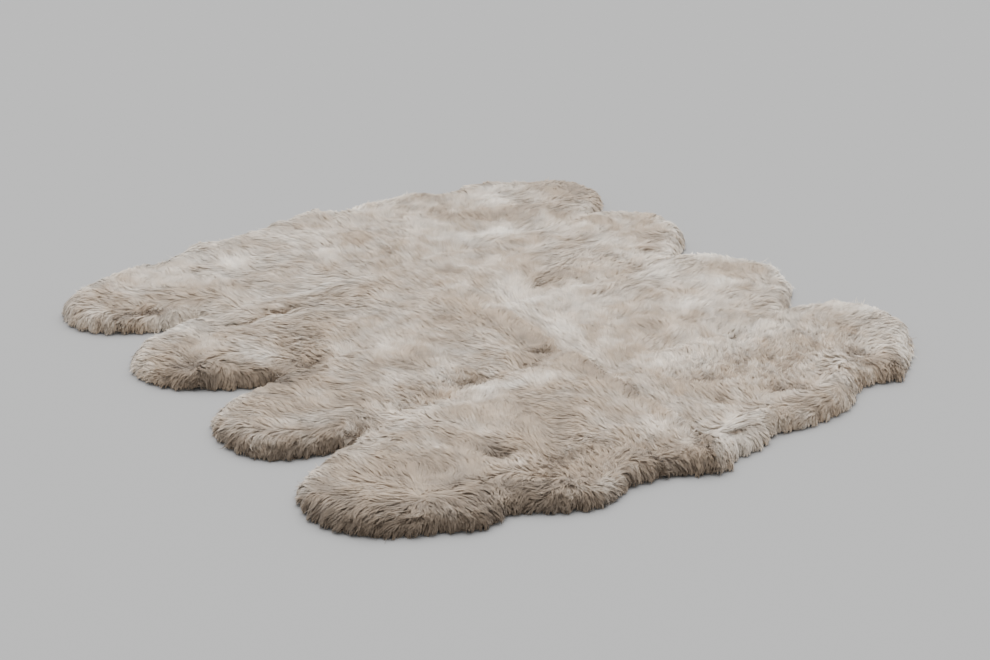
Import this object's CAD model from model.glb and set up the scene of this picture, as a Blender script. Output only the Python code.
"""The looks of a long-wool sheepskin rug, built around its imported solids.

Metres, +Z up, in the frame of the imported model: +X runs along the pelts to the right-hand
lobes and +Y across them to the far edge. Each of the eight pelts gets three pieces: a leather
hide on the floor, a dense body of underwool, and the long wool that grows out of it.

The long wool is laid in locks. A lock's line is marched over the pelt's skin, which is the top
and the rim of its solid, along the way that the wool is brushed there. Its strands are narrow
tapering ribbons that start around its root and close up towards its tip.
"""

import math
from collections import namedtuple

import bpy
import numpy as np
from bpy.props import FloatProperty, FloatVectorProperty, IntProperty, PointerProperty
from mathutils.bvhtree import BVHTree
from mathutils.kdtree import KDTree
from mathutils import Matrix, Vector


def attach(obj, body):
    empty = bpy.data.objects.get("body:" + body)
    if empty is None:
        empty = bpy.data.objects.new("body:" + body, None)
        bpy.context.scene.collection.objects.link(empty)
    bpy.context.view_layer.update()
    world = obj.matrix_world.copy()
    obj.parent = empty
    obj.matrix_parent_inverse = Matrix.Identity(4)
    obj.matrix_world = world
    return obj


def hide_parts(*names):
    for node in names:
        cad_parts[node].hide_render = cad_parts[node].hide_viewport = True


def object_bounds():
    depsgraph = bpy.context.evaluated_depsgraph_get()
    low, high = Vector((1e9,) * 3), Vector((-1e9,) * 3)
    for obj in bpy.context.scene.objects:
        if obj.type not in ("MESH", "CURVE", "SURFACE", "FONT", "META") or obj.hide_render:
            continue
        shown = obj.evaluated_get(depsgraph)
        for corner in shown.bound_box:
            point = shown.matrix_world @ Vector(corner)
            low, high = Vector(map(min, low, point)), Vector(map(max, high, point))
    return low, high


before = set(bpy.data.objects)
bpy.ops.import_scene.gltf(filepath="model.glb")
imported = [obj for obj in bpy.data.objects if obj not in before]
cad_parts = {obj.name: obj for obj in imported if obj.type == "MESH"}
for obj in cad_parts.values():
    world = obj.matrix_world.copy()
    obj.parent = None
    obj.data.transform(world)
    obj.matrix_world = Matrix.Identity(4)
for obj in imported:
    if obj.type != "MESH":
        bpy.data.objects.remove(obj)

bl_info = {
    "name": "Sheepskin Rug",
    "version": (1, 0, 0),
    "blender": (4, 5, 0),
    "location": "3D View > Sidebar > Rug",
    "description": "Grows the wool of an eight-pelt sheepskin rug and lays it on a pale floor",
    "category": "Object",
}

CAD_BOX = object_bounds()
PELTS = sorted(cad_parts)

# Skin
SKIN_CUTS = 2  # how often each edge of a solid's skin is cut, to bend smoothly
EVEN_ROUNDS = 14  # rounds of smoothing that even out the lumps of the skin's rim
EVEN_STEPS = (0.5, -0.52)  # in each, a point moves this share towards its neighbours' middle
SEAM_FOOT = 0.012  # an open edge of the skin that is higher than this is at a seam
UNDER_FACE = -0.95  # a face whose normal points down past this is the flat underside
WALL_FACE = 0.35  # and one whose normal is this level may be a seam's wall
WALL_NEAR = 0.006  # if another pelt is this near
RIM_FACE = 0.35  # a point of the skin whose normal is this level is on the rim's widest line
CHART_PITCH = 0.010  # of the chart that says how far a place is from the rim
FINE_PITCH = 0.005  # and of the one that holds the wool's looks and lie
CHART_EDGE = 0.08  # and how far they reach past the rug

# Locks and strands
LOCK_STEPS = 7  # a lock's line has this many steps
WALL_TOP = 0.97  # skin whose normal rises less than this begins to be the rim's wall,
WALL_FOOT = 0.45  # and below this it is all wall
WALL_TAN = 0.50  # whose wool is up to this much more tan than the rest
WALL_SHADE = 0.71  # and up to this much darker
WALL_LEAST = 0.05  # the rim is at least this dark everywhere,
DARKEST = 1.25  # and at most this dark, where 1 gets all of the tan and shade above
WALL_OVER = 0.50  # the top beside the rim gets this share of them
WALL_LIFT = 0.9  # the rim's shading is turned up by this much where it isn't dark,
WALL_LIFT_DARK = 0.45  # and by this much where it is
FOOT = 0.030  # below this height, wool on a rim that isn't dark
FOOT_SHADE = 0.22  # is up to this much lighter, so that its foot isn't dark
LOW_SHADE = 55.0  # a lock is darker by this much to a metre that it lies lower
ROUND = 0.004  # the strands at a lock's edge lie this much lower than those in its middle
ROUND_SHADE = 0.24  # and are this much darker
LEVEL = 0.08  # each lock's strands are turned towards a level way of its own by this much
SMOOTH_DEPTH = 0.0034  # smooth wool grows from this far under the skin,
RAGGED_DEPTH = 0.0105  # and wool that is all locks from this far
PALE_DEPTH = 0.50  # on a rim that isn't dark, it is this share of that
ROOT_LOW = 0.006  # no wool grows lower on the rim than this
ROOT_FULL = 0.034  # and it is as dense as elsewhere from this height
FLOOR_CLEAR = 0.0012  # strands stay this far above the floor
STRAND_TOP = CAD_BOX[1].z + 0.008  # and their middle lines stay below this
SMOOTH_STATIONS = 2  # a strand's widened sections where the wool is smooth
TOP_STATIONS = 3  # where it is ragged
RIM_STATIONS = 4  # and at the rug's rim
SMOOTH_MOST = 0.35  # wool that is less ragged than this is smooth
SMOOTH_GROWN = 0.65  # where it is smooth, a strand's root has its colour from this far along it
BARE = 0.8  # in a tuft that is wholly open, a strand has its colours this much nearer its root
RAGGED_APART = 0.45  # ragged wool has this share fewer locks, which are wider
RIM_BAND = (0.060, 0.025)  # how far in the rim's own wool begins, and where it is wholly so
LOCK_VARIES = (0.85, 1.12)  # a lock's length varies between these shares
LOCK_LOW = (0.55, 0.45)  # low on the rim it has the first share, and with the second all
LOCK_LOW_HEIGHTS = (0.010, 0.042)  # between these heights
# Pairs below hold a value for smooth wool, and what is added to it for wool that is all locks.
LOCK_AIM = (0.05, 0.30)  # how far a lock strays from the brushed way, in radians
LOCK_SINK = (0.0006, 0.0034)  # how far one lock may lie below another
LOCK_FLICK = (0.0004, 0.0036)  # how far its tip may rise
LOCK_TONE = (0.03, 0.06)  # how far locks differ in tone
LOCK_SHADE = (0.03, 0.10)  # and in shade
STRAND_SHADE = (0.010, 0.020)  # how far a lock's strands differ in shade
RIM_FLUFF = 1.4  # the rim's strands stray this many times as far from their locks
RIM_MORE = 1.7  # the rim has this many times as many strands to its area

# Hide and underwool
UNDER_MOST = 0.019  # the underwool lies as deep as the wool's roots, but no deeper than this
UNDER_FOOT = 0.0045  # and its lowest edge this far above the floor
UNDER_FLOOR = 0.0024  # its lip, clear of the hide
UNDER_LIP = 0.018  # which reaches in over the hide this far
HIDE_INSET = 0.016  # the hide ends this far inside the solid's underside

Spot = namedtuple("Spot", "x y long wide turn much")
# A spot's middle, how long and wide it is, which way its long axis turns from +X in degrees,
# and how much there is of what the table holds.


def spots(*rows):
    return [Spot(*row) for row in rows]


# Where the wool opens and stands up, so that its dark roots show
TUFTS = spots(
    (-0.77, 0.552, 0.06, 0.03, -32, 1.5),
    (-0.856, 0.54, 0.034, 0.03, 0, 0.7),
    (-0.8, 0.79, 0.032, 0.018, -30, 0.4),
    (-0.632, 0.86, 0.03, 0.016, 10, 0.4),
    (-0.6, 0.34, 0.23, 0.014, 1, 0.8),
    (-0.45, 0.35, 0.06, 0.014, -3, 0.8),
    (-0.33, 0.59, 0.026, 0.018, 40, 0.5),
    (-0.821, 0.168, 0.05, 0.026, 60, 0.7),
    (-0.559, 0.018, 0.03, 0.02, 20, 1.1),
    (-0.505, 0.17, 0.036, 0.03, 60, 0.6),
    (-0.6, -0.07, 0.036, 0.016, 70, 0.5),
    (-0.656, -0.412, 0.06, 0.024, 25, 1.1),
    (-0.505, -0.385, 0.02, 0.016, 0, 0.7),
    (-0.365, -0.435, 0.024, 0.014, 40, 0.6),
    (-0.437, -0.721, 0.05, 0.034, -32, 0.9),
    (-0.345, -0.83, 0.05, 0.02, -32, 0.9),
    (-0.738, -0.68, 0.022, 0.02, 0, 0.9),
    (-0.525, -0.54, 0.024, 0.012, 0, 0.6),
    (-0.28, -0.319, 0.044, 0.024, -20, 1.2),
    (-0.085, -0.34, 0.04, 0.018, 10, 0.8),
    (-0.012, -0.25, 0.044, 0.02, 5, 1.4),
    (-0.135, -0.94, 0.09, 0.022, 80, 1.0),
    (-0.005, -0.96, 0.13, 0.024, 69, 0.8),
    (-0.22, -0.02, 0.032, 0.018, 65, 0.5),
    (-0.112, 0.098, 0.032, 0.018, 0, 0.9),
    (0.0, 0.84, 0.04, 0.012, 85, 0.8),
    (0.002, 0.56, 0.028, 0.014, 80, 0.7),
    (0.238, 0.132, 0.044, 0.024, 15, 0.9),
    (0.215, 0.4, 0.022, 0.014, 60, 0.6),
    (0.345, -0.02, 0.022, 0.018, 20, 0.6),
    (0.405, 0.675, 0.055, 0.02, -30, 0.9),
    (0.29, 0.78, 0.06, 0.012, -20, 0.5),
    (0.58, 0.1, 0.036, 0.016, 10, 0.7),
    (0.5, -0.44, 0.036, 0.022, 20, 1.3),
    (0.61, -0.385, 0.04, 0.012, 15, 0.7),
    (0.23, -0.634, 0.04, 0.024, -32, 1.3),
    (0.369, -0.795, 0.044, 0.026, -32, 1.4),
    (0.7, -0.7, 0.04, 0.026, 30, 1.0),
    (0.76, -0.62, 0.024, 0.016, 10, 0.9),
    (0.65, -0.78, 0.04, 0.016, -40, 0.8),
    (0.04, -0.43, 0.036, 0.014, -70, 0.9),
    (0.03, -0.58, 0.05, 0.016, -80, 1.1),
    (0.722, -0.83, 0.04, 0.024, 20, 0.8),
    (-0.69, -0.065, 0.04, 0.03, -32, 1.1),
    (-0.86, 0.08, 0.05, 0.026, 40, 0.9),
    (-0.96, 0.12, 0.036, 0.024, 40, 1.0),
    (0.116, -0.94, 0.03, 0.024, -32, 1.1),
    (0.29, -0.93, 0.04, 0.02, -10, 0.5),
    (0.56, -0.62, 0.036, 0.012, -20, 0.9),
    (0.33, -0.56, 0.034, 0.012, 10, 0.8),
    (0.42, -0.68, 0.03, 0.014, -40, 0.8),
    (0.18, -0.78, 0.032, 0.014, 30, 0.8),
    (0.86, -0.56, 0.032, 0.02, 60, 0.8),
)

# Where the wool is whiter (below 0) or more tan (above 0) than the rest
PATCHES = spots(
    (-0.4, 0.72, 0.3, 0.13, 22, -0.55),
    (-0.16, 0.86, 0.18, 0.09, 60, -0.35),
    (-0.46, 0.67, 0.13, 0.05, 60, -0.45),
    (-0.32, 0.45, 0.26, 0.04, 3, -0.7),
    (-0.76, 0.39, 0.12, 0.03, 3, -0.45),
    (-0.5, 0.3, 0.12, 0.02, 0, -0.5),
    (-0.66, 0.13, 0.09, 0.05, 80, -1.0),
    (-0.82, -0.22, 0.11, 0.06, -60, -0.6),
    (-0.4, -0.12, 0.13, 0.022, 62, -0.6),
    (-0.25, -0.1, 0.09, 0.02, -60, -0.5),
    (-0.18, -0.405, 0.11, 0.022, -15, -1.0),
    (-0.43, -0.43, 0.12, 0.03, 5, -0.6),
    (-0.62, -0.5, 0.12, 0.04, 25, -0.45),
    (0.53, 0.835, 0.085, 0.055, 80, -1.3),
    (0.34, 0.57, 0.11, 0.035, -5, -1.1),
    (0.42, 0.56, 0.12, 0.05, -20, -0.4),
    (0.2, 1.0, 0.18, 0.04, 0, -0.4),
    (0.22, 0.06, 0.17, 0.05, 3, -1.0),
    (0.15, 0.16, 0.07, 0.05, 60, -0.7),
    (0.42, 0.23, 0.08, 0.07, 60, -0.3),
    (0.59, 0.3, 0.11, 0.06, 60, -0.7),
    (0.62, 0.04, 0.11, 0.06, 10, -0.9),
    (0.8, 0.06, 0.13, 0.05, -40, -1.2),
    (0.9, -0.12, 0.13, 0.035, 80, -1.3),
    (0.66, -0.12, 0.06, 0.05, 0, -1.0),
    (0.5, -0.21, 0.05, 0.04, 0, -0.9),
    (0.1, -0.2, 0.15, 0.035, 88, -0.8),
    (0.43, -0.49, 0.33, 0.06, 3, -0.5),
    (0.86, -0.6, 0.15, 0.06, 60, -0.6),
    (0.07, -0.7, 0.12, 0.03, 80, -0.4),
    (0.09, -0.94, 0.08, 0.05, 60, -0.8),
    (-0.8, 0.57, 0.11, 0.08, 0, 0.6),
    (-0.85, 0.12, 0.1, 0.09, 0, 0.9),
    (-0.44, 0.19, 0.16, 0.08, -5, 0.45),
    (-0.6, -0.02, 0.12, 0.06, 65, 0.8),
    (-0.68, -0.08, 0.1, 0.03, 65, 0.6),
    (-0.55, -0.29, 0.11, 0.05, 0, 0.7),
    (-0.15, 0.03, 0.12, 0.1, 0, 0.35),
    (-0.01, -0.1, 0.24, 0.036, 88, 1.3),
    (0.02, -0.5, 0.2, 0.026, 88, 0.8),
    (-0.29, -0.6, 0.17, 0.11, 75, 0.75),
    (-0.12, -0.56, 0.14, 0.1, 0, 0.3),
    (-0.68, -0.76, 0.17, 0.11, -15, 0.9),
    (-0.45, -0.9, 0.2, 0.1, 0, 0.8),
    (-0.69, -0.06, 0.09, 0.06, -32, 0.9),
    (-0.11, -0.96, 0.12, 0.09, -20, 1.1),
    (0.79, 0.78, 0.12, 0.06, -60, 1.3),
    (0.62, 0.96, 0.13, 0.03, -10, 1.1),
    (0.5, 0.7, 0.17, 0.05, -10, 0.9),
    (0.85, 0.45, 0.08, 0.04, 60, 0.6),
    (0.76, 0.31, 0.12, 0.05, 75, 0.5),
    (0.25, 0.4, 0.2, 0.12, 0, 0.15),
    (0.3, 0.17, 0.06, 0.04, 30, 0.6),
    (0.785, -0.066, 0.085, 0.056, -32, 1.4),
    (0.35, -0.2, 0.2, 0.1, 0, 0.15),
    (0.3, -0.9, 0.16, 0.06, 10, 0.2),
    (0.4, -0.78, 0.07, 0.05, 0, 0.35),
    (0.68, -0.83, 0.09, 0.07, 20, 0.9),
    (0.36, -0.94, 0.14, 0.05, 0, 0.3),
    (-0.55, 0.64, 0.15, 0.08, 10, 0.75),
    (-0.73, 0.29, 0.12, 0.06, 0, 0.45),
    (-0.76, -0.24, 0.12, 0.07, 0, 0.85),
    (-0.36, -0.13, 0.18, 0.07, 20, 0.8),
    (-0.63, -0.72, 0.12, 0.09, 0, 1.1),
    (0.28, -0.69, 0.2, 0.09, 0, 0.4),
    (0.33, -0.28, 0.16, 0.06, 0, 0.4),
    (0.0, -0.15, 0.1, 0.04, 60, 0.5),
    (-0.45, -0.7, 0.08, 0.05, -32, 0.9),
    (0.78, -0.72, 0.11, 0.09, 0, -0.4),
    (0.77, 0.74, 0.1, 0.06, -30, 1.1),
)

# Where the rim's wool is dark down its wall
WALLS = spots(
    (-0.9, 0.56, 0.16, 0.16, 0, 0.18),
    (-0.85, 0.04, 0.22, 0.15, 0, 0.55),
    (-0.84, -0.4, 0.24, 0.15, 0, 0.95),
    (-0.78, -0.9, 0.32, 0.16, -30, 1.3),
    (-0.45, -1.0, 0.22, 0.12, 0, 0.72),
    (-0.09, -1.02, 0.16, 0.12, 0, 0.66),
    (-0.9, -0.72, 0.12, 0.12, 0, 0.28),
    (0.38, -0.96, 0.12, 0.06, 0, 0.3),
    (0.7, -0.87, 0.07, 0.06, 0, 0.3),
)

# Where the wool is ragged and in locks, and where it is brushed smooth (below 0)
RAGS = spots(
    (0.48, -0.64, 0.34, 0.17, 0, 1.1),
    (-0.28, -0.9, 0.28, 0.1, 0, 0.85),
    (-0.86, 0.58, 0.11, 0.12, 0, 0.3),
    (-0.93, 0.1, 0.08, 0.2, 0, 0.3),
    (-0.93, -0.35, 0.08, 0.18, 0, 0.3),
    (-0.83, -0.87, 0.23, 0.06, -30, 0.4),
    (-0.87, -0.72, 0.08, 0.12, 0, -0.2),
    (0.43, 0.19, 0.2, 0.08, -10, 0.3),
    (-0.38, -0.35, 0.33, 0.06, 8, 0.65),
    (-0.55, 0.06, 0.09, 0.13, 0, 0.5),
    (0.33, 0.75, 0.18, 0.06, -30, 0.25),
    (0.64, 0.18, 0.12, 0.06, 0, 0.3),
    (-0.35, 0.56, 0.24, 0.05, 0, 0.12),
    (-0.55, -0.5, 0.15, 0.06, 20, 0.3),
    (0.3, 0.43, 0.22, 0.11, 0, -0.4),
    (0.33, -0.2, 0.26, 0.1, 0, -0.4),
    (-0.21, -0.56, 0.19, 0.14, 0, -0.5),
    (-0.7, -0.7, 0.2, 0.12, 0, -0.6),
    (-0.12, 0.0, 0.1, 0.2, 0, -0.4),
    (-0.45, 0.75, 0.4, 0.18, 20, -0.2),
    (0.95, 0.4, 0.25, 0.55, 0, -0.5),
    (0.1, 1.08, 1.1, 0.18, 0, -0.5),
)


def ease(value, start, end):
    """0 at start, 1 at end, and smooth between them."""
    share = np.clip((value - start) / (end - start), 0, 1)
    return share * share * (3 - 2 * share)


def added(pair, share):
    """A pair's first value, with that share of its second added."""
    return pair[0] + pair[1] * share


def unit(vectors):
    """Vectors made one long."""
    return vectors / np.maximum(np.linalg.norm(vectors, axis=-1, keepdims=True), 1e-12)


NOISE_CELLS = 64
NOISE_TURN = 0.62  # the noise's cells are turned by this much from the axes


def noise(x, y, pitch, seed):
    """Smooth noise from -1 to 1 over a plan, with lumps of about that pitch."""
    grid = np.random.default_rng(seed).uniform(-1, 1, (NOISE_CELLS, NOISE_CELLS))
    c, s = math.cos(NOISE_TURN + seed), math.sin(NOISE_TURN + seed)
    u = (x * c - y * s) / pitch
    v = (x * s + y * c) / pitch
    i, j = np.floor(u).astype(int), np.floor(v).astype(int)
    a, b = u - i, v - j
    a, b = a * a * (3 - 2 * a), b * b * (3 - 2 * b)
    here, there = i % NOISE_CELLS, (i + 1) % NOISE_CELLS
    low, high = j % NOISE_CELLS, (j + 1) % NOISE_CELLS
    near = grid[here, low] * (1 - a) + grid[there, low] * a
    far = grid[here, high] * (1 - a) + grid[there, high] * a
    return near * (1 - b) + far * b


def rotated(vectors, c, s):
    """Plan vectors turned by the angle with that cosine and sine."""
    x, y = vectors[:, 0], vectors[:, 1]
    return np.stack([x * c - y * s, x * s + y * c], 1)


def spread(spot, x, y):
    """How far inside a spot each place is, from 0 to 1, and which way is out of it."""
    c, s = math.cos(math.radians(spot.turn)), math.sin(math.radians(spot.turn))
    u = (x - spot.x) * c + (y - spot.y) * s
    v = (y - spot.y) * c - (x - spot.x) * s
    inside = np.exp(-((u / spot.long) ** 2) - (v / spot.wide) ** 2)
    out = unit(np.stack([u / spot.long**2, v / spot.wide**2], 1))
    return inside, rotated(out, c, s)


def total(table, x, y):
    """The sum of what a table's spots hold at each place."""
    return sum(spot.much * spread(spot, x, y)[0] for spot in table)


def read(items, name, kind, width):
    """One property of a mesh's points, faces or loops as an array."""
    values = np.empty(len(items) * width, kind)
    items.foreach_get(name, values)
    return values.reshape(-1, width) if width > 1 else values


def move_points(mesh, points):
    mesh.vertices.foreach_set("co", points.astype(np.float32).ravel())
    mesh.update()


def alone(obj):
    """Selects one object and makes it the active one."""
    bpy.ops.object.select_all(action="DESELECT")
    obj.select_set(True)
    bpy.context.view_layer.objects.active = obj


def copied(node, name):
    """A merged copy of a pelt's solid."""
    obj = bpy.data.objects.new(name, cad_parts[node].data.copy())
    obj.data.name = name
    obj.data.materials.clear()
    bpy.context.scene.collection.objects.link(obj)
    alone(obj)
    bpy.ops.object.mode_set(mode="EDIT")
    bpy.ops.mesh.select_all(action="SELECT")
    bpy.ops.mesh.customdata_custom_splitnormals_clear()
    bpy.ops.mesh.remove_doubles(threshold=1e-6)
    bpy.ops.object.mode_set(mode="OBJECT")
    return obj


def keep_faces(obj, kept):
    """Deletes the faces that aren't kept."""
    alone(obj)
    bpy.ops.object.mode_set(mode="EDIT")
    bpy.ops.mesh.select_mode(type="FACE")
    bpy.ops.mesh.select_all(action="DESELECT")
    bpy.ops.object.mode_set(mode="OBJECT")
    obj.data.polygons.foreach_set("select", ~kept)
    bpy.ops.object.mode_set(mode="EDIT")
    bpy.ops.mesh.delete(type="FACE")
    bpy.ops.object.mode_set(mode="OBJECT")


def solid_trees():
    """A search tree of each pelt's solid."""
    trees = {}
    for node in PELTS:
        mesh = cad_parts[node].data
        points = read(mesh.vertices, "co", np.float32, 3)
        trees[node] = BVHTree.FromPolygons(points.tolist(), [f.vertices[:] for f in mesh.polygons])
    return trees


def is_skin(node, obj, trees):
    """Which faces of a pelt's copy are its top or rim, and not its underside or a seam's wall."""
    normals = read(obj.data.polygons, "normal", np.float32, 3)
    middles = read(obj.data.polygons, "center", np.float32, 3)
    kept = normals[:, 2] > UNDER_FACE
    others = [tree for name, tree in trees.items() if name != node]
    for i in np.flatnonzero(np.abs(normals[:, 2]) < WALL_FACE):
        if any(tree.find_nearest(middles[i].tolist(), WALL_NEAR)[0] for tree in others):
            kept[i] = False
    return kept


def even_rim(obj):
    """Evens out the lumps of a skin's rim, which the wool covers, and keeps its shape."""
    mesh = obj.data
    points = read(mesh.vertices, "co", np.float32, 3).astype(float)
    level = read(mesh.vertex_normals, "vector", np.float32, 3)[:, 2]
    ends = read(mesh.edges, "vertices", np.int32, 2)
    uses = np.bincount(read(mesh.loops, "edge_index", np.int32, 1), minlength=len(ends))
    border = np.zeros(len(points), bool)
    border[ends[uses == 1]] = True
    pairs = np.concatenate([ends, ends[:, ::-1]])
    pairs = pairs[~border[pairs[:, 0]] | np.tile(uses == 1, 2)]
    here, there = pairs.T
    count = np.maximum(np.bincount(here, minlength=len(points)), 1)
    free = ease(level, 0.95, 0.70)
    free[border & (points[:, 2] > SEAM_FOOT)] = 0
    for _ in range(EVEN_ROUNDS):
        for step in EVEN_STEPS:
            sums = [np.bincount(here, points[there, k], len(points)) for k in range(3)]
            middle = np.stack(sums, 1) / count[:, None]
            points += (step * free)[:, None] * (middle - points)
    move_points(mesh, points)


def skin_of(node, name, trees):
    """An open mesh of a pelt's top and rim, in finer faces that bend smoothly."""
    obj = copied(node, name)
    keep_faces(obj, is_skin(node, obj, trees))
    bpy.ops.object.mode_set(mode="EDIT")
    bpy.ops.mesh.select_all(action="SELECT")
    bpy.ops.mesh.subdivide(number_cuts=SKIN_CUTS, smoothness=1.0)
    bpy.ops.mesh.quads_convert_to_tris()
    bpy.ops.object.mode_set(mode="OBJECT")
    even_rim(obj)
    return obj


class Skin:
    """A pelt's skin as arrays."""

    def __init__(self, obj):
        mesh = obj.data
        self.points = read(mesh.vertices, "co", np.float32, 3).astype(float)
        self.normals = read(mesh.vertex_normals, "vector", np.float32, 3).astype(float)
        self.faces = read(mesh.loops, "vertex_index", np.int32, 1).reshape(-1, 3)
        self.areas = read(mesh.polygons, "area", np.float32, 1).astype(float)

    def scattered(self, count, rng, weights):
        """That many places on the skin, evenly strewn, and its normals there."""
        reach = np.cumsum(self.areas * weights)
        steps = (np.arange(count) + rng.random(count)) / count
        face = np.minimum(np.searchsorted(reach, steps * reach[-1]), len(reach) - 1)
        a, b = rng.random((2, count))
        over = a + b > 1
        a[over], b[over] = 1 - a[over], 1 - b[over]
        mix = np.stack([1 - a - b, a, b], 1)[:, :, None]
        corners = self.faces[face]
        return (self.points[corners] * mix).sum(1), unit((self.normals[corners] * mix).sum(1))


class Chart:
    """Values over a plan of the rug, read between its squares."""

    def __init__(self, pitch):
        low, high = CAD_BOX
        self.pitch = pitch
        self.low = np.array(low[:2]) - CHART_EDGE
        size = np.array(high[:2]) + CHART_EDGE - self.low
        self.count = np.ceil(size / pitch).astype(int) + 2
        rows = np.arange(self.count[0]) * pitch + self.low[0]
        columns = np.arange(self.count[1]) * pitch + self.low[1]
        self.x, self.y = np.meshgrid(rows, columns, indexing="ij")

    def at(self, values, x, y):
        """The chart's values at places."""
        u = np.clip((x - self.low[0]) / self.pitch, 0, self.count[0] - 1.001)
        v = np.clip((y - self.low[1]) / self.pitch, 0, self.count[1] - 1.001)
        i, j = u.astype(int), v.astype(int)
        a, b = u - i, v - j
        near = values[i, j] * (1 - a) + values[i + 1, j] * a
        far = values[i, j + 1] * (1 - a) + values[i + 1, j + 1] * a
        return near * (1 - b) + far * b


LEFT_TURN = 1.00  # the left half's wool lies this much towards the far edge, in radians
RIGHT_TURN = 0.75  # and the right half's
STAND = 0.6  # how far the wool stands up where it is all in locks
JOIN_REACH = 0.30  # beside the centre seam the wool turns to the far edge over this length
RIM_REACH = 0.13  # and it begins to turn outwards this far from the rim
RIM_WANDER = 0.04  # or more or less by this
SWEEP = 1.4  # how far the rim's wool may be swept along the rim, in radians
BUNDLE = 0.7  # and how far its bundles turn from one another
LEAN = 0.7  # how far the wool leans out of a tuft that is wholly open
RUFFLE = 0.014  # a tuft's edge wanders by this much
RUFFLE_PITCH = 0.035  # over about this length
RIM_BLUR = 0.020  # the rim's direction is smoothed over this length
PUFF = 0.005  # how high the wool's soft heaps rise and how deep its hollows are
OPEN_SINK = 0.0028  # and how deep the wool sinks in an open tuft
HALT = 0.85  # a lock that reaches an open tuft is this much shorter from there
SHADE = 0.70  # how light the wool is, from 0 to 1
PUFF_SHADE = 0.23  # how much lighter it is on heaps and darker in hollows
OPEN_SHADE = 0.33  # and in open tufts
RIM_PALE = 0.18  # the rim's wool is less tan than the rest by this much
OVER_TAN = 0.45  # and where it is more tan than the tan colour


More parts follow.
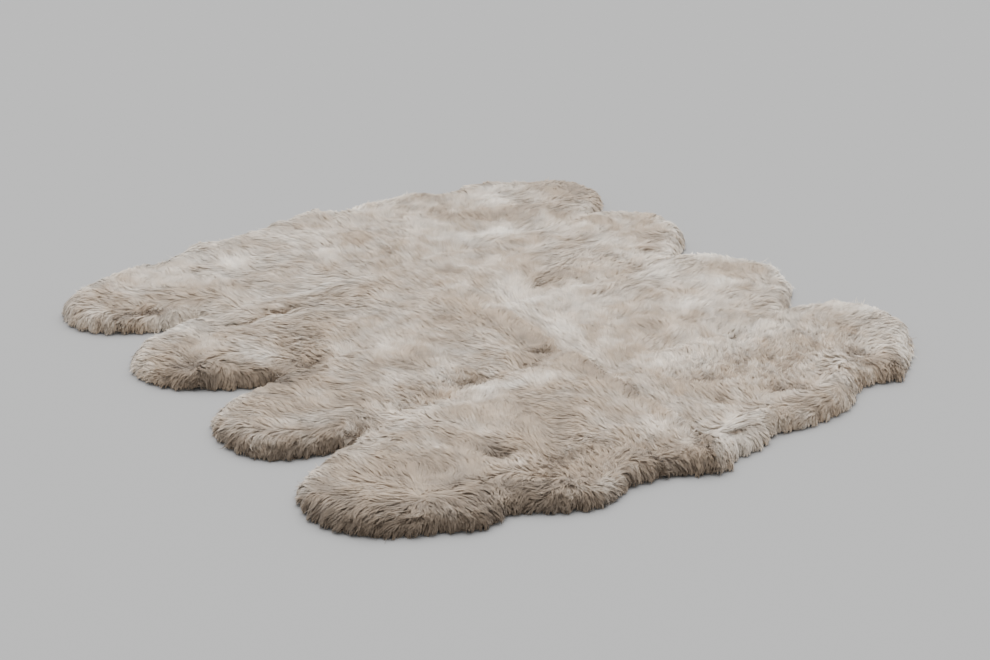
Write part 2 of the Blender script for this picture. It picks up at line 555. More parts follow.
class Plan:
    """Where the rug's rim and seams are, and which way the wool is brushed."""

    def __init__(self, skins):
        self.chart = Chart(CHART_PITCH)
        points = np.concatenate([s.points for s in skins.values()])
        normals = np.concatenate([s.normals for s in skins.values()])
        on_rim = (np.abs(normals[:, 2]) < RIM_FACE) & (points[:, 2] < 0.03)
        self.rim(points[on_rim][::2], normals[on_rim][::2])
        self.seams(skins)
        self.fine = Chart(FINE_PITCH)
        self.draw()

    def rim(self, points, normals):
        """How far each square is from the rim's points, and which way is out there."""
        chart = self.chart
        self.away = np.empty(chart.x.shape)
        self.out_x, self.out_y = np.empty((2,) + chart.x.shape)
        outward = unit(normals[:, :2])
        for i in range(len(chart.x)):
            gap_x = chart.x[i][:, None] - points[:, 0]
            gap_y = chart.y[i][:, None] - points[:, 1]
            gap = np.hypot(gap_x, gap_y)
            least = gap.min(1)
            weight = np.exp(-((gap - least[:, None]) / RIM_BLUR) ** 2)
            self.away[i] = least
            self.out_x[i] = (weight * outward[:, 0]).sum(1) / weight.sum(1)
            self.out_y[i] = (weight * outward[:, 1]).sum(1) / weight.sum(1)

    def seams(self, skins):
        """The centre seam's line, from the left pelts' points that lie furthest right."""
        left = np.concatenate([s.points for n, s in skins.items() if "left" in n])
        steps = np.arange(CAD_BOX[0].y, CAD_BOX[1].y, 0.02)
        lines = []
        for y in steps:
            near = left[np.abs(left[:, 1] - y) < 0.02]
            if len(near):
                lines.append((y, near[:, 0].max()))
        self.seam_y, self.seam_x = np.array(lines).T

    def from_rim(self, x, y):
        return self.chart.at(self.away, x, y)

    def outward(self, x, y):
        out = np.stack([self.chart.at(self.out_x, x, y), self.chart.at(self.out_y, x, y)], 1)
        return unit(out)

    def from_centre(self, x, y):
        """How far right of the centre seam a place is."""
        return x - np.interp(y, self.seam_y, self.seam_x)

    def opened(self, x, y):
        """How far the wool opens at a place, and which way it leans there."""
        bent_x = x + RUFFLE * noise(x, y, RUFFLE_PITCH, 61)
        bent_y = y + RUFFLE * noise(x, y, RUFFLE_PITCH, 62)
        much, lean = np.zeros(len(x)), np.zeros((len(x), 2))
        for tuft in TUFTS:
            inside, out = spread(tuft, bent_x, bent_y)
            much += tuft.much * inside
            lean += (tuft.much * inside)[:, None] * out
        return much, lean

    def combed(self, x, y, side):
        """Which way the wool lies at a place, leaving out what the rim does to it."""
        turn = 0.8 * noise(x, y, 0.24, 11) + 1.1 * noise(x, y, 0.09, 12)
        turn = turn + 0.6 * noise(x, y, 0.04, 14)
        turn = turn + np.where(side > 0, RIGHT_TURN, LEFT_TURN)
        lie = np.stack([side * np.cos(turn), np.sin(turn)], 1)
        beside = self.from_centre(x, y)
        joined = ease(np.abs(beside), JOIN_REACH, 0)[:, None]
        lie = lie * (1 - joined) + joined * np.array([0, 1])
        over = np.where(side < 0, ease(beside, -0.08, -0.01), 0) * ease(y, 0.30, 0.10)
        return lie * (1 - over)[:, None] + over[:, None] * np.array([0.9, 0.4])

    def brushed(self, x, y, side):
        """Which way the wool lies at a place. The vector is shorter than 1 where it stands up."""
        lie, out = self.combed(x, y, side), self.outward(x, y)
        wander = RIM_WANDER * noise(x, y, 0.12, 15)
        at_rim = ease(self.from_rim(x, y) + wander, RIM_REACH, 0.03)
        turn = np.arctan2(out[:, 1], out[:, 0]) - np.arctan2(lie[:, 1], lie[:, 0])
        turn += SWEEP * noise(x, y, 0.15, 13) + BUNDLE * noise(x, y, 0.045, 16)
        turn = at_rim * ((turn + math.pi) % (2 * math.pi) - math.pi)
        lie = rotated(lie, np.cos(turn), np.sin(turn))
        lie *= (1 - STAND * self.curly(x, y) * (1 - at_rim))[:, None]
        much, lean = self.opened(x, y)
        lie = lie + (LEAN * ease(much, 0.7, 1.4))[:, None] * lean
        return lie / np.maximum(np.linalg.norm(lie, axis=1), 1)[:, None]

    def curly(self, x, y):
        """How much the wool on the rug's top is in locks: 0 is brushed smooth, 1 is all locks."""
        own = 0.03 + 0.24 * np.clip(noise(x, y, 0.12, 21), 0, 1) + total(RAGS, x, y)
        return np.clip(own + 0.8 * self.opened(x, y)[0], 0, 1)

    def darkness(self, x, y):
        """How dark the rim's wool is beside a place."""
        return np.clip(WALL_LEAST + total(WALLS, x, y), 0, DARKEST)

    def ragged(self, x, y):
        """How much the wool is in locks at a place, also at the rim."""
        at_rim = ease(self.from_rim(x, y), *RIM_BAND)
        rim = at_rim * (0.08 + 0.25 * self.darkness(x, y))
        return np.clip(self.curly(x, y) * (1 - 0.4 * at_rim) + rim, 0, 1)

    def puffed(self, x, y):
        """How the wool's soft heaps and hollows rise and sink, about -1 to 1."""
        heaps = 0.6 * noise(x, y, 0.075, 51) + 0.5 * noise(x, y, 0.035, 52)
        return heaps + 0.6 * noise(x, y, 0.018, 53)

    def draw(self):
        """Draws on the fine chart, once, all that locks and strands read there."""
        x, y = self.fine.x.ravel(), self.fine.y.ravel()
        drawn = {
            "open": self.opened(x, y)[0],
            "puff": self.puffed(x, y),
            "ragged": self.ragged(x, y),
            "tone": tones(x, y) - RIM_PALE * ease(self.from_rim(x, y), 0.06, 0.02),
        }
        at_rim = ease(self.from_rim(x, y), 0.11, 0.05)
        dark = self.darkness(x, y)
        depth = SMOOTH_DEPTH + (RAGGED_DEPTH - SMOOTH_DEPTH) * drawn["ragged"]
        drawn["dark"] = dark * at_rim
        drawn["depth"] = depth * (1 - (1 - PALE_DEPTH) * at_rim * (1 - dark))
        for side in (-1, 1):
            lie = self.brushed(x, y, side)
            drawn["lie_x", side], drawn["lie_y", side] = lie.T
        self.drawn = {name: values.reshape(self.fine.x.shape) for name, values in drawn.items()}

    def look(self, name, places):
        return self.fine.at(self.drawn[name], places[..., 0], places[..., 1])

    def lie(self, places, side):
        parts = [self.look((name, side), places) for name in ("lie_x", "lie_y")]
        return np.stack(parts, -1)

    def colours(self, places, upright):
        """The wool's tone and shade at places, and how much of its own colour shows there."""
        wall = WALL_OVER + (1 - WALL_OVER) * ease(upright[..., 2], WALL_TOP, WALL_FOOT)
        wall = wall * self.look("dark", places)
        opened = self.look("open", places)
        tone = self.look("tone", places) + WALL_TAN * wall
        shade = SHADE + PUFF_SHADE * self.look("puff", places) - WALL_SHADE * wall
        shade -= OVER_TAN * np.maximum(tone - 1, 0)
        foot = ease(places[..., 2], FOOT, 0) * np.clip(1 - self.look("dark", places), 0, 1)
        shade += FOOT_SHADE * foot
        return tone, shade - OPEN_SHADE * opened, 1 - BARE * ease(opened, 0.3, 1.5)


def nearest(tree, places):
    """The skin's nearest point and face to each place."""
    found = [tree.find_nearest(place) for place in places.tolist()]
    return np.array([f[0][:] for f in found]), np.array([f[2] for f in found])


Locks = namedtuple("Locks", "lines normals clump ragged across tone shade")


class Fleece:
    """The whole rug's skin, and the locks that are laid over it."""

    def __init__(self, skins):
        self.plan = Plan(skins)
        points, normals, faces, start = [], [], [], 0
        for skin in skins.values():
            points.append(skin.points)
            normals.append(skin.normals)
            faces.append(skin.faces + start)
            start += len(skin.points)
        self.points, self.normals = np.concatenate(points), np.concatenate(normals)
        self.faces = np.concatenate(faces)
        self.tree = BVHTree.FromPolygons(self.points.tolist(), self.faces.tolist())
        self.face_normals = unit(self.normals[self.faces].mean(1))

    def locks(self, roots, normals, side, rng, wool):
        """Marches a lock's line from each root over the skin."""
        count = len(roots)
        plan, x, y = self.plan, roots[:, 0], roots[:, 1]
        at_rim = ease(plan.from_rim(x, y), *RIM_BAND)
        ragged = plan.look("ragged", roots)
        with_grain = at_rim * (plan.combed(x, y, side) * plan.outward(x, y)).sum(1)
        length = wool.length * (1 + 0.10 * at_rim + 0.22 * with_grain)
        length = length * rng.uniform(*LOCK_VARIES, count)
        length *= added(LOCK_LOW, ease(roots[:, 2], *LOCK_LOW_HEIGHTS))
        stray = rng.normal(0, 1, count) * added(LOCK_AIM, ragged)
        curl = wool.curl * (0.1 + 0.9 * ragged + 0.15 * at_rim) * rng.uniform(0.5, 1.3, count)
        phase = rng.uniform(0, 2 * math.pi, count)
        waves = rng.uniform(0.5, 1.1, count) + 0.5 * at_rim
        height = rng.uniform(-1, 0, count) * added(LOCK_SINK, ragged)
        flick = rng.uniform(-0.4, 1, count) * added(LOCK_FLICK, ragged)
        depth = plan.look("depth", roots)
        pace = np.linalg.norm(plan.lie(roots, side), axis=1)
        risen = 0.35 + 0.25 * ragged + 0.5 * (1 - pace)

        here = roots - normals * depth[:, None]
        lines, ways = [here], [normals]
        upright = normals
        for step in range(1, LOCK_STEPS + 1):
            share = step / LOCK_STEPS
            lie = plan.lie(here, side)
            angle = stray + curl * np.sin(phase + 2 * math.pi * waves * share)
            turned = rotated(lie, np.cos(angle), np.sin(angle))
            hang = ((0.80 - 0.30 * with_grain) * (1 - np.clip(upright[:, 2], 0, 1)))[:, None]
            way = np.concatenate([turned * (1 - hang), -hang], 1)
            flat = way - upright * (way * upright).sum(1)[:, None]
            free = ease(upright[:, 2], 0.45, 0.10)[:, None]
            way = flat * (1 - free) + unit(way) * free
            halted = HALT * ease(plan.look("open", here), 0.35, 0.90)
            there = here + way * (length / LOCK_STEPS * (1 - halted))[:, None]
            on_skin, face = nearest(self.tree, there)
            normal = self.face_normals[face]
            normal[:, 2] = np.maximum(normal[:, 2], 0)
            upright = unit(0.35 * upright + 0.65 * normal)
            rise = ease(share, 0, risen)
            heap = PUFF * plan.look("puff", there) - OPEN_SINK * plan.look("open", there)
            above = -depth * (1 - rise) + (height + heap) * rise + flick * share**2
            follow = 1 - free * (0.15 + 0.25 * with_grain)[:, None]
            here = (on_skin + upright * above[:, None]) * follow + there * (1 - follow)
            here[:, 2] = np.maximum(here[:, 2], FLOOR_CLEAR)
            lines.append(here)
            ways.append(upright)
        clump = wool.clump * ragged * (1 - 0.5 * at_rim)
        across = np.zeros((count, 3))
        across[:, :2] = rng.normal(0, 1, (count, 2))
        varied = [added(LOCK_TONE, ragged), added(LOCK_SHADE, ragged)]
        tone, shade = rng.normal(0, 1, (2, count)) * varied
        shade += LOW_SHADE * height
        lines, ways = np.stack(lines, 1), np.stack(ways, 1)
        return Locks(lines, ways, clump, ragged, unit(across), tone, shade)


def along_line(lines, lock, share):
    """Points on locks' lines, at shares of their length."""
    place = np.clip(share, 0, 1) * LOCK_STEPS
    step = np.minimum(place.astype(int), LOCK_STEPS - 1)
    part = (place - step)[..., None]
    rows = lock[:, None]
    return lines[rows, step] * (1 - part) + lines[rows, step + 1] * part


Ribbons = namedtuple("Ribbons", "points normals looks loops sizes uvs")


def ribbon_faces(count, stations):
    """The corners, sizes and map places of ribbons' faces: fours, and a three at the tip."""
    corners, sizes, across, along = [], [], [], []
    for k in range(stations - 1):
        corners += [2 * k, 2 * k + 1, 2 * k + 3, 2 * k + 2]
        across += [0, 1, 1, 0]
        along += [k, k, k + 1, k + 1]
        sizes.append(4)
    corners += [2 * stations - 2, 2 * stations - 1, 2 * stations]
    across += [0, 1, 0.5]
    along += [stations - 1, stations - 1, stations]
    sizes.append(3)
    loops = np.array(corners)[None] + (np.arange(count) * (2 * stations + 1))[:, None]
    uvs = np.stack([across, np.array(along) / stations], 1)
    uvs = np.broadcast_to(uvs, (count,) + uvs.shape).reshape(-1, 2)
    return loops.ravel(), np.tile(sizes, count), uvs


def ribbons(roots, lock, locks, plan, stations, rng, wool):
    """Tapering ribbons from their roots, each along its lock's line."""
    count = len(roots)
    shares = np.linspace(0, 1, stations + 1) ** 0.9
    shortest = 0.55 if stations == RIM_STATIONS else 0.72
    reach = rng.uniform(shortest, 1.0, count)[:, None] * shares
    line = along_line(locks.lines, lock, reach)
    upright = unit(along_line(locks.normals, lock, reach))
    start = locks.lines[lock, 0]
    close = locks.clump[lock][:, None] * shares**1.2
    away = (roots - start)[:, None, :] * (1 - close)[:, :, None]
    rough = locks.ragged[lock][:, None]
    aside = np.linalg.norm(roots - start, axis=1)[:, None] / (0.75 * wool.lock)
    aside = np.minimum(aside, 1) ** 2 * (0.25 + 0.75 * rough) * shares**0.5
    fly = np.where(rng.random((count, 1)) < wool.fly, 3.0, 1.0)
    stray = wool.fluff * (0.6 + 0.4 * rough) * fly
    if stations == RIM_STATIONS:
        stray = stray * RIM_FLUFF
    loose = rng.normal(0, 1, (count, 1, 3)) * (stray * shares**1.5)[:, :, None]
    spine = line + away + loose - upright * (ROUND * aside)[:, :, None]
    spine[:, :, 2] = np.clip(spine[:, :, 2], FLOOR_CLEAR, STRAND_TOP)
    way = np.empty_like(spine)
    way[:, 1:-1] = spine[:, 2:] - spine[:, :-2]
    way[:, 0] = spine[:, 1] - spine[:, 0]
    way[:, -1] = spine[:, -1] - spine[:, -2]
    way = unit(way)
    across = np.cross(way, upright)
    across = unit(across + LEVEL * locks.across[lock][:, None])
    lifted = np.cross(across, way)
    twist = rng.normal(0, 0.40, (count, 1)) + rng.normal(0, 0.30, (count, 1)) * shares
    twist = np.clip(twist * (0.20 + 0.30 * rough), -0.30, 0.30)[:, :, None]
    edge = across * np.cos(twist) + lifted * np.sin(twist)
    face = unit(np.cross(edge, way))
    width = wool.strand * rng.uniform(0.75, 1.25, (count, 1)) / fly**0.5
    width = width * (1.35 - 0.5 * rough) * (1 - 0.55 * shares**2)
    half = (edge * width[:, :, None] / 2)[:, :-1]
    sides = np.stack([spine[:, :-1] - half, spine[:, :-1] + half], 2)
    points = np.concatenate([sides.reshape(count, -1, 3), spine[:, -1:]], 1)
    points[:, :, 2] = np.maximum(points[:, :, 2], FLOOR_CLEAR / 2)
    blend = (wool.soft * (1.3 - 0.5 * rough))[:, :, None]
    lift = WALL_LIFT + (WALL_LIFT_DARK - WALL_LIFT) * plan.look("dark", spine)
    lit = upright + lift[:, :, None] * np.array([0, 0, 1])
    soft = unit(blend * unit(lit) + (1 - blend) * face)
    tone, shade, own = plan.colours(spine, upright)
    tone = tone + locks.tone[lock][:, None] + rng.normal(0, 0.02, (count, 1))
    shade = shade + locks.shade[lock][:, None]
    shade = shade + rng.normal(0, 1, (count, 1)) * added(STRAND_SHADE, rough)
    shade = shade - ROUND_SHADE * (0.6 + 0.8 * rough) * (aside - 0.3 * rough)
    grown = (shares + (1 - 0.6 * rough) * SMOOTH_GROWN * (1 - shares)) * own
    looks = np.stack([grown, tone, shade, np.ones_like(tone)], 2)
    looks, soft = [
        np.concatenate([np.repeat(held[:, :-1], 2, axis=1), held[:, -1:]], 1)
        for held in (np.clip(looks, 0, 1), soft)
    ]
    rows = points.reshape(-1, 3), soft.reshape(-1, 3), looks.reshape(-1, 4)
    return Ribbons(*rows, *ribbon_faces(count, stations))


CELL_SHAPE = 3.0  # a strand's cell on the map is this many times as long as it is wide
CELL_FILL = 0.8  # and it fills this share of it


def own_cells(uvs, counts):
    """Puts each strand in a cell of its own on the map.

    counts holds each group's number of strands, and how many corners each strand has.
    """
    strands = sum(count for count, _ in counts)
    columns = math.ceil(math.sqrt(strands * CELL_SHAPE))
    rows = math.ceil(strands / columns)
    corners = np.concatenate([np.full(count, each) for count, each in counts])
    owner = np.repeat(np.arange(strands), corners)
    cell = np.stack([owner % columns, owner // columns], 1)
    return (cell + (1 - CELL_FILL) / 2 + uvs * CELL_FILL) / (columns, rows)


def hold_looks(mesh, looks):
    """Holds what the wool material reads: root-to-tip share, tone and shade."""
    held = mesh.attributes.new("wool", "FLOAT_COLOR", "POINT")
    held.data.foreach_set("color", looks.astype(np.float32).ravel())


def mesh_of(name, groups, counts):
    """One mesh of several groups of ribbons."""
    points = np.concatenate([g.points for g in groups])
    starts = np.cumsum([0] + [len(g.points) for g in groups])
    loops = np.concatenate([g.loops + start for g, start in zip(groups, starts)])
    sizes = np.concatenate([g.sizes for g in groups])
    mesh = bpy.data.meshes.new(name)
    mesh.vertices.add(len(points))
    mesh.vertices.foreach_set("co", points.astype(np.float32).ravel())
    mesh.loops.add(len(loops))
    mesh.loops.foreach_set("vertex_index", loops.astype(np.int32))
    mesh.polygons.add(len(sizes))
    mesh.polygons.foreach_set("loop_start", (np.cumsum(sizes) - sizes).astype(np.int32))
    mesh.update(calc_edges=True)
    mesh.polygons.foreach_set("use_smooth", np.ones(len(sizes), bool))
    hold_looks(mesh, np.concatenate([g.looks for g in groups]))
    uvs = own_cells(np.concatenate([g.uvs for g in groups]), counts)
    layer = mesh.uv_layers.new(name="OFBake", do_init=False)
    layer.data.foreach_set("uv", uvs.astype(np.float32).ravel())
    normals = np.concatenate([g.normals for g in groups])
    mesh.normals_split_custom_set_from_vertices(normals.tolist())
    return mesh


def tones(x, y):
    """How tan (1) or white (0) the wool is at a place."""
    drift = 0.14 * noise(x, y, 0.15, 31) + 0.20 * noise(x, y, 0.05, 32)
    drift = drift + 0.20 * noise(x, y, 0.025, 33)
    return 0.77 + drift + 0.57 * total(PATCHES, x, y)


def wool_mesh(name, skin, fleece, side, seed, wool):
    """The long wool of one pelt."""
    rng, plan = np.random.default_rng(seed), fleece.plan
    middles = skin.points[skin.faces].mean(1)
    grows = ease(middles[:, 2], ROOT_LOW, ROOT_FULL)
    at_rim = ease(plan.from_rim(middles[:, 0], middles[:, 1]), 0.070, 0.030)
    weights = grows * (1 + (RIM_MORE - 1) * at_rim)
    area = (skin.areas * weights).sum()
    apart = weights * (1 - RAGGED_APART * plan.look("ragged", middles))
    locks_made = int((skin.areas * apart).sum() / wool.lock**2)
    lock_roots, lock_normals = skin.scattered(locks_made, rng, apart)
    locks = fleece.locks(lock_roots, lock_normals, side, rng, wool)
    search = KDTree(len(lock_roots))
    for i, place in enumerate(lock_roots.tolist()):
        search.insert(place, i)
    search.balance()
    roots, normals = skin.scattered(int(area * wool.strands), rng, weights)
    lock = np.array([search.find(place)[1] for place in roots.tolist()])
    rough = locks.ragged[lock]
    sunk = roots - normals * plan.look("depth", roots)[:, None]
    edge = plan.from_rim(roots[:, 0], roots[:, 1]) < 0.065
    smooth = ~edge & (rough < SMOOTH_MOST)
    kinds = ((smooth, SMOOTH_STATIONS), (~edge & ~smooth, TOP_STATIONS), (edge, RIM_STATIONS))
    groups, counts = [], []
    for which, stations in kinds:
        if which.any():
            groups.append(ribbons(sunk[which], lock[which], locks, plan, stations, rng, wool))
            counts.append((int(which.sum()), 4 * (stations - 1) + 3))
    return mesh_of(name, groups, counts)


# Materials


def nodes_of(name):
    """A new material with an empty node tree."""
    mat = bpy.data.materials.new(name)
    mat.use_nodes = True
    mat.node_tree.nodes.clear()
    return mat, mat.node_tree


def new_node(tree, kind, inputs=None, **settings):
    """A new node. Its inputs are given as values, or as an output to link."""
    made = tree.nodes.new("ShaderNode" + kind)
    for name, value in settings.items():
        setattr(made, name, value)
    for name, value in (inputs or {}).items():
        if isinstance(value, bpy.types.NodeSocket):
            tree.links.new(value, made.inputs[name])
        else:
            made.inputs[name].default_value = value
    return made


def surfaced(mat, inputs):
    """Gives a material its shader, whose inputs are given."""
    shader = new_node(mat.node_tree, "BsdfPrincipled", inputs)
    new_node(mat.node_tree, "OutputMaterial", {"Surface": shader.outputs["BSDF"]})
    return mat


CLOUD_SCALE = 14  # of the soft patches in the wool's tone
CLOUD_TONE = 0.5  # from its most tan patch to its whitest, they differ by this much
GROWN = (0.05, 0.7)  # a strand gains its own colour between these shares of its length
DARK, BRIGHT = 0.40, 1.27  # the wool's colour is multiplied by these where its shade is 0 and 1
FIBRE_SCALE = 420  # of the relief of single fibres
SUEDE_MOTTLE = 9  # scale of the suede's mottling,
SUEDE_DARK, SUEDE_LIGHT = 0.72, 1.2  # and how dark and light it makes the colour
NAP_SCALE = 900  # of the suede's nap


def wool_group():
    """Wool's colour from its root to its tip, and its fibres' relief."""
    tree = bpy.data.node_groups.get("Wool fibre")
    if tree:
        return tree
    tree = bpy.data.node_groups.new("Wool fibre", "ShaderNodeTree")
    for name, way, kind in (
        ("Root", "INPUT", "Color"),
        ("Pale", "INPUT", "Color"),
        ("Tan", "INPUT", "Color"),
        ("Along", "INPUT", "Float"),
        ("Tone", "INPUT", "Float"),
        ("Shade", "INPUT", "Float"),
        ("Color", "OUTPUT", "Color"),
        ("Relief", "OUTPUT", "Float"),
    ):
        tree.interface.new_socket(name, in_out=way, socket_type="NodeSocket" + kind)
    given = tree.nodes.new("NodeGroupInput").outputs
    result = tree.nodes.new("NodeGroupOutput").inputs

    place = new_node(tree, "TexCoord").outputs["Object"]
    cloudy = new_node(tree, "TexNoise", {"Vector": place, "Scale": CLOUD_SCALE, "Detail": 3})
    shift = new_node(
        tree, "Math", {0: cloudy.outputs["Fac"], 1: CLOUD_TONE, 2: -CLOUD_TONE / 2},
        operation="MULTIPLY_ADD",
    )
    tone = new_node(
        tree, "Math", {0: given["Tone"], 1: shift.outputs[0]}, operation="ADD", use_clamp=True
    )
    body = new_node(
        tree, "Mix", {"Factor": tone.outputs[0], "A": given["Pale"], "B": given["Tan"]},
        data_type="RGBA",
    )
    grown = new_node(
        tree, "MapRange", {"Value": given["Along"], "From Min": GROWN[0], "From Max": GROWN[1]},
        interpolation_type="SMOOTHSTEP",
    )
    colour = new_node(
        tree, "Mix",
        {"Factor": grown.outputs["Result"], "A": given["Root"], "B": body.outputs["Result"]},
        data_type="RGBA",
    )
    bright = new_node(
        tree, "MapRange", {"Value": given["Shade"], "To Min": DARK, "To Max": BRIGHT}
    )
    final = new_node(
        tree, "VectorMath", {0: colour.outputs["Result"], "Scale": bright.outputs["Result"]},
        operation="SCALE",
    )
    tree.links.new(final.outputs["Vector"], result["Color"])

    fine = new_node(tree, "TexNoise", {"Vector": place, "Scale": FIBRE_SCALE, "Detail": 2})
    tree.links.new(fine.outputs["Fac"], result["Relief"])
    return tree


def wool_material(name, wool):
    """Wool whose root-to-tip share, tone and shade are held in the piece's attribute."""
    mat, tree = nodes_of(name)
    held = new_node(tree, "Attribute", attribute_name="wool")
    parts = new_node(tree, "SeparateColor", {"Color": held.outputs["Color"]}).outputs
    given = {
        "Root": (*wool.root_colour, 1),
        "Pale": (*wool.pale_colour, 1),
        "Tan": (*wool.tan_colour, 1),
        "Along": parts[0],
        "Tone": parts[1],
        "Shade": parts[2],
    }
    fibre = new_node(tree, "Group", given, node_tree=wool_group())
    relief = {"Strength": 0.35, "Distance": 0.0006, "Height": fibre.outputs["Relief"]}
    return surfaced(mat, {
        "Base Color": fibre.outputs["Color"],
        "Normal": new_node(tree, "Bump", relief).outputs["Normal"],
        "Roughness": 0.85,
        "Specular IOR Level": 0.25,
        "Subsurface Weight": 0.55,
        "Subsurface Radius": (1, 1, 1),
        "Subsurface Scale": 0.006,
        "Sheen Weight": 0.25,
        "Sheen Roughness": 0.5,
    })


def leather_material(name, colour):
    """Undyed suede: mottled, with a fine nap."""
    mat, tree = nodes_of(name)
    place = new_node(tree, "TexCoord").outputs["Object"]
    mottle = new_node(tree, "TexNoise", {"Vector": place, "Scale": SUEDE_MOTTLE, "Detail": 6})
    shades = {
        "Factor": mottle.outputs["Fac"],
        "A": (*[c * SUEDE_DARK for c in colour], 1),
        "B": (*[min(1, c * SUEDE_LIGHT) for c in colour], 1),
    }
    nap = new_node(tree, "TexNoise", {"Vector": place, "Scale": NAP_SCALE, "Detail": 4})
    relief = {"Strength": 0.4, "Distance": 0.0004, "Height": nap.outputs["Fac"]}
    return surfaced(mat, {
        "Base Color": new_node(tree, "Mix", shades, data_type="RGBA").outputs["Result"],
        "Normal": new_node(tree, "Bump", relief).outputs["Normal"],
        "Roughness": 0.9,
        "Sheen Weight": 0.2,
    })


def floor_material(colour):
    mat, _ = nodes_of("Floor")
    return surfaced(
        mat, {"Base Color": (*colour, 1), "Roughness": 0.9, "Specular IOR Level": 0.1}
    )


# Settings and operators


def length_setting(name, description, default, low, high):
    """A setting that is a length."""
    return FloatProperty(
        name=name, description=description, default=default, min=low, max=high,
        subtype="DISTANCE", unit="LENGTH",
    )


def share_setting(name, description, default):
    """A setting that goes from 0 to 1."""
    return FloatProperty(
        name=name, description=description, default=default, min=0, max=1, subtype="FACTOR"
    )


def colour_setting(name, description, default):
    """A setting that is a colour."""
    return FloatVectorProperty(
        name=name, description=description, default=default, size=3, min=0, max=1,
        subtype="COLOR",
    )


class RugSettings(bpy.types.PropertyGroup):
    """Sizes and colours that a user may change."""

    length: length_setting(
        "Wool length", "Length of the brushed wool on the rug's top", 0.052, 0.02, 0.12
    )
    lock: length_setting("Lock spacing", "Distance between neighbouring locks", 0.0105, 0.005, 0.05)
    strand: length_setting("Strand width", "Width of a strand at its widest", 0.0025, 0.0005, 0.01)
    strands: FloatProperty(
        name="Strands", description="Strands to a square metre of skin",
        default=48000, min=1000, max=100000,
    )
    fluff: length_setting("Fluff", "How far a strand's tip strays from its lock", 0.0030, 0, 0.02)
    curl: FloatProperty(
        name="Curl", description="How far a lock swings from side to side",
        default=0.75, min=0, max=math.pi, subtype="ANGLE", unit="ROTATION",
    )
    fly: share_setting("Flyaways", "Share of the strands that stray further and are finer", 0.06)
    clump: share_setting("Clump", "How far a lock's strands close up at its tip", 0.75)
    soft: share_setting("Softness", "How far strands are shaded as one surface", 0.75)
    pale_colour: colour_setting("Pale wool", "Colour of the whitest wool", (0.893, 0.814, 0.702))
    tan_colour: colour_setting("Tan wool", "Colour of the tan wool", (0.422, 0.321, 0.230))
    root_colour: colour_setting("Wool roots", "Colour of the wool near the hide", (0.275, 0.195, 0.128))
    leather_colour: colour_setting("Hide", "Colour of the hide's suede side", (0.58, 0.47, 0.34))
    leather: length_setting("Hide thickness", "Thickness of the hide", 0.0018, 0.0005, 0.0022)
    floor_colour: colour_setting("Floor", "Colour of the studio floor", (0.325, 0.325, 0.325))
    sun: FloatProperty(
        name="Sun", description="Strength of the soft overhead light",
        default=4.6, min=0, max=20,
    )
    sky: FloatProperty(
        name="Sky", description="Strength of the light from all round",
        default=0.885, min=0, max=5,
    )
    seed: IntProperty(name="Seed", description="Seed of all that is random", default=7)


SHARED = {}  # the skins and the fleece, made once for all the operators


def shared():
    """The pelts' skins and the fleece over them."""
    if not SHARED:
        trees = solid_trees()
        shells = {node: skin_of(node, "skin_" + node, trees) for node in PELTS}
        SHARED["skins"] = {node: Skin(obj) for node, obj in shells.items()}
        for obj in shells.values():
            bpy.data.meshes.remove(obj.data)
        SHARED["trees"] = trees
        SHARED["fleece"] = Fleece(SHARED["skins"])
    return SHARED


def side_of(node):
    """-1 for the left half's pelts, and 1 for the right half's."""
    return -1 if "left" in node else 1


def part_name(kind, node):
    """The name of a pelt's wool, underwool or hide."""
    return node.replace("pelt", kind)


def make_underwool(node):
    """The dense wool under the locks: the skin, sunk, with a lip that lies on the hide."""
    obj = skin_of(node, part_name("underwool", node), shared()["trees"])
    skin, plan = shared()["skins"][node], shared()["fleece"].plan
    x, y = skin.points[:, 0], skin.points[:, 1]
    rough = plan.look("ragged", skin.points)
    sink = plan.look("depth", skin.points) + 0.6 * OPEN_SINK * plan.look("open", skin.points)
    sink = np.minimum(sink, UNDER_MOST) - PUFF * np.minimum(plan.look("puff", skin.points), 0)
    points = skin.points - skin.normals * sink[:, None]
    lumps = 0.0022 * noise(x, y, 0.022, 41) + 0.0012 * noise(x, y, 0.009, 42)
    points[:, 2] = np.maximum(points[:, 2] + lumps * ease(skin.normals[:, 2], 0.3, 0.9), UNDER_FOOT)
    move_points(obj.data, points)
    tone, shade, own = plan.colours(skin.points, skin.normals)
    grown, shade = (0.75 - 0.30 * rough) * own, shade - 0.04 - 0.22 * rough
    looks = np.stack([grown, tone, shade, np.ones(len(x))], 1)
    hold_looks(obj.data, np.clip(looks, 0, 1))
    alone(obj)
    bpy.ops.object.mode_set(mode="EDIT")
    bpy.ops.mesh.select_mode(type="EDGE")
    bpy.ops.mesh.select_all(action="DESELECT")
    bpy.ops.mesh.select_non_manifold(
        extend=False, use_wire=False, use_boundary=True, use_multi_face=False,
        use_non_contiguous=False, use_verts=False,
    )
    bpy.ops.mesh.extrude_edges_move()
    bpy.ops.object.mode_set(mode="OBJECT")
    chosen = read(obj.data.vertices, "select", bool, 1)
    points = read(obj.data.vertices, "co", np.float32, 3)
    x, y = points[chosen, 0], points[chosen, 1]
    at_rim = ease(plan.from_rim(x, y), 0.040, 0.025)[:, None]
    points[chosen, :2] -= at_rim * UNDER_LIP * plan.outward(x, y)
    points[chosen, 2] = UNDER_FLOOR
    move_points(obj.data, points)
    bpy.ops.object.mode_set(mode="EDIT")
    bpy.ops.mesh.quads_convert_to_tris()
    bpy.ops.mesh.select_all(action="SELECT")
    bpy.ops.mesh.normals_make_consistent(inside=False)
    bpy.ops.object.mode_set(mode="OBJECT")
    bpy.ops.object.shade_smooth()
    return obj


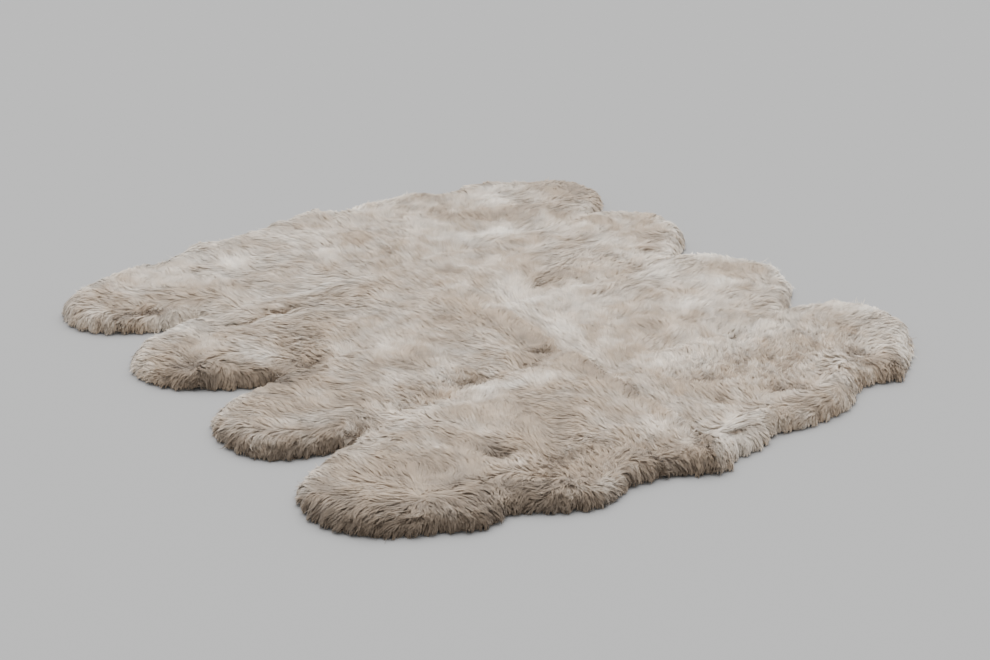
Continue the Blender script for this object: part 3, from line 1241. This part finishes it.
def stand_for(obj, node, mat):
    """Dresses a piece that replaces a pelt's solid."""
    obj.data.materials.append(mat)
    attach(obj, "root")
    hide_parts(node)


class RUG_OT_underwool(bpy.types.Operator):
    """Makes each pelt's body of dense underwool"""

    bl_idname = "rug.underwool"
    bl_label = "Underwool"

    def execute(self, context):
        mat = wool_material("Underwool", context.scene.rug)
        for node in PELTS:
            stand_for(make_underwool(node), node, mat)
        return {"FINISHED"}


class RUG_OT_wool(bpy.types.Operator):
    """Grows each pelt's long wool"""

    bl_idname = "rug.wool"
    bl_label = "Long wool"

    def execute(self, context):
        wool = context.scene.rug
        mat = wool_material("Long wool", wool)
        for i, node in enumerate(PELTS):
            name = part_name("wool", node)
            skin, fleece = shared()["skins"][node], shared()["fleece"]
            mesh = wool_mesh(name, skin, fleece, side_of(node), wool.seed + i, wool)
            obj = bpy.data.objects.new(name, mesh)
            context.scene.collection.objects.link(obj)
            stand_for(obj, node, mat)
        return {"FINISHED"}


class RUG_OT_hide(bpy.types.Operator):
    """Cuts each pelt's leather hide"""

    bl_idname = "rug.hide"
    bl_label = "Hides"

    def execute(self, context):
        wool = context.scene.rug
        mat = leather_material("Suede", wool.leather_colour)
        plan = shared()["fleece"].plan
        for node in PELTS:
            obj = copied(node, part_name("hide", node))
            keep_faces(obj, read(obj.data.polygons, "normal", np.float32, 3)[:, 2] < UNDER_FACE)
            points = read(obj.data.vertices, "co", np.float32, 3)
            x, y = points[:, 0], points[:, 1]
            near = ease(plan.from_rim(x, y), 0.030, 0.018)[:, None]
            points[:, :2] -= near * HIDE_INSET * plan.outward(x, y)
            points[:, 2] = wool.leather / 2
            move_points(obj.data, points)
            alone(obj)
            thick = obj.modifiers.new("Thickness", "SOLIDIFY")
            thick.thickness = wool.leather
            thick.offset = 0
            bpy.ops.object.modifier_apply(modifier=thick.name)
            obj.data.materials.append(mat)
            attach(obj, "root")
        return {"FINISHED"}


CAMERA_PLACE = (-3.080, -4.848, 2.400)
CAMERA_DOWN = math.radians(22.6)
CAMERA_TURN = math.radians(-32.5)
CAMERA_LENS = 82.7  # mm on a 36 mm sensor
SUN_TILT = (math.radians(-16), math.radians(16))
SUN_SPREAD = math.radians(70)
FLOOR_SIZE = 60.0
FLOOR_DROP = 0.0004  # the floor lies this far below the hides


class RUG_OT_stage(bpy.types.Operator):
    """Lays the floor and sets the lights and the camera"""

    bl_idname = "rug.stage"
    bl_label = "Stage"

    def execute(self, context):
        scene, wool = context.scene, context.scene.rug
        bpy.ops.object.select_all(action="DESELECT")
        bpy.ops.mesh.primitive_plane_add(size=FLOOR_SIZE, location=(0, 0, -FLOOR_DROP))
        floor = context.object
        floor.name = "floor"
        floor.data.materials.append(floor_material(wool.floor_colour))
        light = bpy.data.lights.new("soft_sun", "SUN")
        light.energy = wool.sun
        light.angle = SUN_SPREAD
        sun = bpy.data.objects.new("soft_sun", light)
        sun.rotation_euler = (*SUN_TILT, 0)
        scene.collection.objects.link(sun)
        world = bpy.data.worlds.new("Sky")
        world.use_nodes = True
        sky = world.node_tree.nodes["Background"]
        sky.inputs["Color"].default_value = (1, 1, 1, 1)
        sky.inputs["Strength"].default_value = wool.sky
        scene.world = world
        lens = bpy.data.cameras.new("camera")
        lens.lens = CAMERA_LENS
        lens.sensor_width = 36
        lens.clip_end = 200
        camera = bpy.data.objects.new("camera", lens)
        camera.location = CAMERA_PLACE
        camera.rotation_euler = (math.pi / 2 - CAMERA_DOWN, 0, CAMERA_TURN)
        scene.collection.objects.link(camera)
        scene.camera = camera
        return {"FINISHED"}


class RUG_PT_panel(bpy.types.Panel):
    """The rug's settings and steps"""

    bl_label = "Sheepskin Rug"
    bl_space_type = "VIEW_3D"
    bl_region_type = "UI"
    bl_category = "Rug"

    def draw(self, context):
        for name in RugSettings.__annotations__:
            self.layout.prop(context.scene.rug, name)
        for step in (RUG_OT_underwool, RUG_OT_wool, RUG_OT_hide, RUG_OT_stage):
            self.layout.operator(step.bl_idname)


CLASSES = (RugSettings, RUG_OT_underwool, RUG_OT_wool, RUG_OT_hide, RUG_OT_stage, RUG_PT_panel)


def register():
    for cls in CLASSES:
        bpy.utils.register_class(cls)
    bpy.types.Scene.rug = PointerProperty(type=RugSettings)


def unregister():
    del bpy.types.Scene.rug
    for cls in reversed(CLASSES):
        bpy.utils.unregister_class(cls)


def main():
    register()
    bpy.ops.rug.underwool()
    bpy.ops.rug.wool()
    bpy.ops.rug.hide()
    bpy.ops.rug.stage()


if __name__ == "__main__":
    main()
